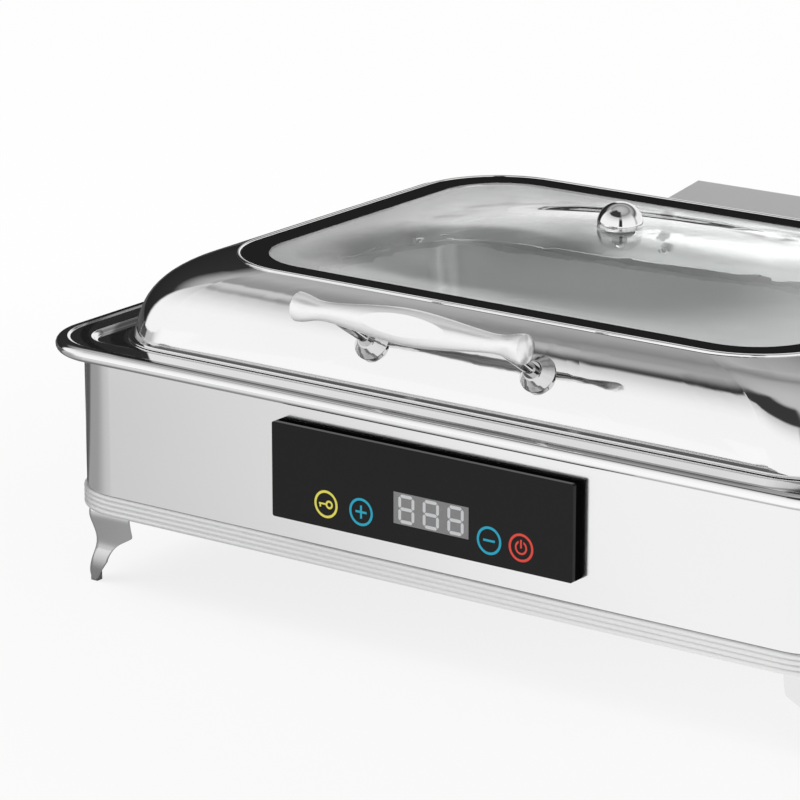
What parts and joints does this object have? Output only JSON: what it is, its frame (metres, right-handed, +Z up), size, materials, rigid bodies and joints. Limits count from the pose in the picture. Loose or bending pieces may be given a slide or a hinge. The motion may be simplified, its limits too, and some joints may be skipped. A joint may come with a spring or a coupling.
{
  "type": "hydraulic chafing dish",
  "caption": "Rectangular electric chafing dish with a soft-close hydraulic lid hinge, a crowned glass window and a touch control panel.",
  "frame": {"origin": "middle of the overall box in X and Y, on the plane the feet stand on", "axes": "+Z up, -Y towards the person using the dish (handle and control panel), +X to that person's right"},
  "size_m": [0.64, 0.5295, 0.2654],
  "materials": {
    "polished_steel": "mirror polished stainless steel",
    "satin_steel": "satin stainless steel",
    "zinc_steel": "zinc plated",
    "chrome_casting": "chrome plated casting",
    "window_glass": "tempered, gloss",
    "black_print": "fired black print",
    "panel_glass": "gloss, back printed black",
    "black_plastic": "fine texture",
    "mark_yellow": "lit print",
    "mark_cyan": "lit print",
    "mark_red": "lit print",
    "digit_grey": "unlit display segments",
    "silicone": "matt silicone",
    "clear_silicone": "translucent silicone",
    "cast_aluminium": "as cast",
    "heater_sheath": "heat darkened",
    "bronze_bush": "machined",
    "blade_brass": "nickel washed",
    "circuit_board": "solder mask"
  },
  "bodies": {
    "base": {"base_band": "polished_steel", "body_shell": "polished_steel", "bottom_cover": "satin_steel", "clamp_screws": "zinc_steel", "control_board": "circuit_board", "control_case": "black_plastic", "damper_clamps": "black_plastic", "damper_cylinder_left": "satin_steel", "damper_cylinder_right": "satin_steel", "display_digits": "digit_grey", "lock_mark": "mark_yellow", "plus_mark": "mark_cyan", "minus_mark": "mark_cyan", "power_mark": "mark_red", "touch_glass": "panel_glass", "heater_bars": "zinc_steel", "heater_nuts": "zinc_steel", "heater_plate": "cast_aluminium", "heating_tube": "heater_sheath", "hinge_cover": "satin_steel", "hinge_frame": "satin_steel", "inlet_blades": "blade_brass", "inlet_body": "black_plastic", "leg_front_left": "polished_steel", "leg_front_right": "polished_steel", "leg_rear_left": "polished_steel", "leg_rear_right": "polished_steel", "leg_pads": "silicone", "m3_screws": "satin_steel", "m5_screws": "satin_steel", "m5_nuts": "zinc_steel", "open_stops": "silicone", "power_board": "circuit_board", "rear_stiffener": "zinc_steel", "shaft_bushes": "bronze_bush", "thermal_cutout": "black_plastic", "water_pan": "polished_steel"},
    "lid": {"cam_pins": "zinc_steel", "hinge_cams": "satin_steel", "hinge_lid_leaf": "satin_steel", "hinge_shaft": "satin_steel", "handle_backing_washers": "silicone", "handle_bar": "chrome_casting", "handle_posts": "chrome_casting", "handle_rosettes": "chrome_casting", "knob_cap": "chrome_casting", "knob_seals": "clear_silicone", "knob_stud": "zinc_steel", "knob_washer": "satin_steel", "leaf_cap_nuts": "polished_steel", "leaf_screws": "polished_steel", "lid_cap_nuts": "polished_steel", "lid_shell": "polished_steel", "window_black_border": "black_print", "window_gasket": "silicone", "window_glass": "window_glass", "window_frame": "polished_steel"},
    "food_pan": {"food_pan": "satin_steel"},
    "damper_rod_left": {"plunger_left": "polished_steel"},
    "damper_rod_right": {"plunger_right": "polished_steel"}
  },
  "joints": [
    {"name": "lid_hinge", "type": "hinge", "parent": "base", "child": "lid", "pos_m": [0, 0.23974, 0.1843], "axis": [-1, 0, 0], "range_deg": [0, 90]},
    {"name": "plunger_left_slide", "type": "slide", "parent": "base", "child": "damper_rod_left", "axis": [0, 0, 1], "range_m": [0, 0.01336]},
    {"name": "plunger_right_slide", "type": "slide", "parent": "base", "child": "damper_rod_right", "axis": [0, 0, 1], "range_m": [0, 0.01336]},
    {"name": "food_pan_lift", "type": "slide", "parent": "base", "child": "food_pan", "axis": [0, 0, 1], "range_m": [0, 0.03]}
  ],
  "couplings": [
    {"joint": "plunger_left_slide", "follows": "lid_hinge", "m_per_rad": 0.0085},
    {"joint": "plunger_right_slide", "follows": "lid_hinge", "m_per_rad": 0.0085}
  ]
}
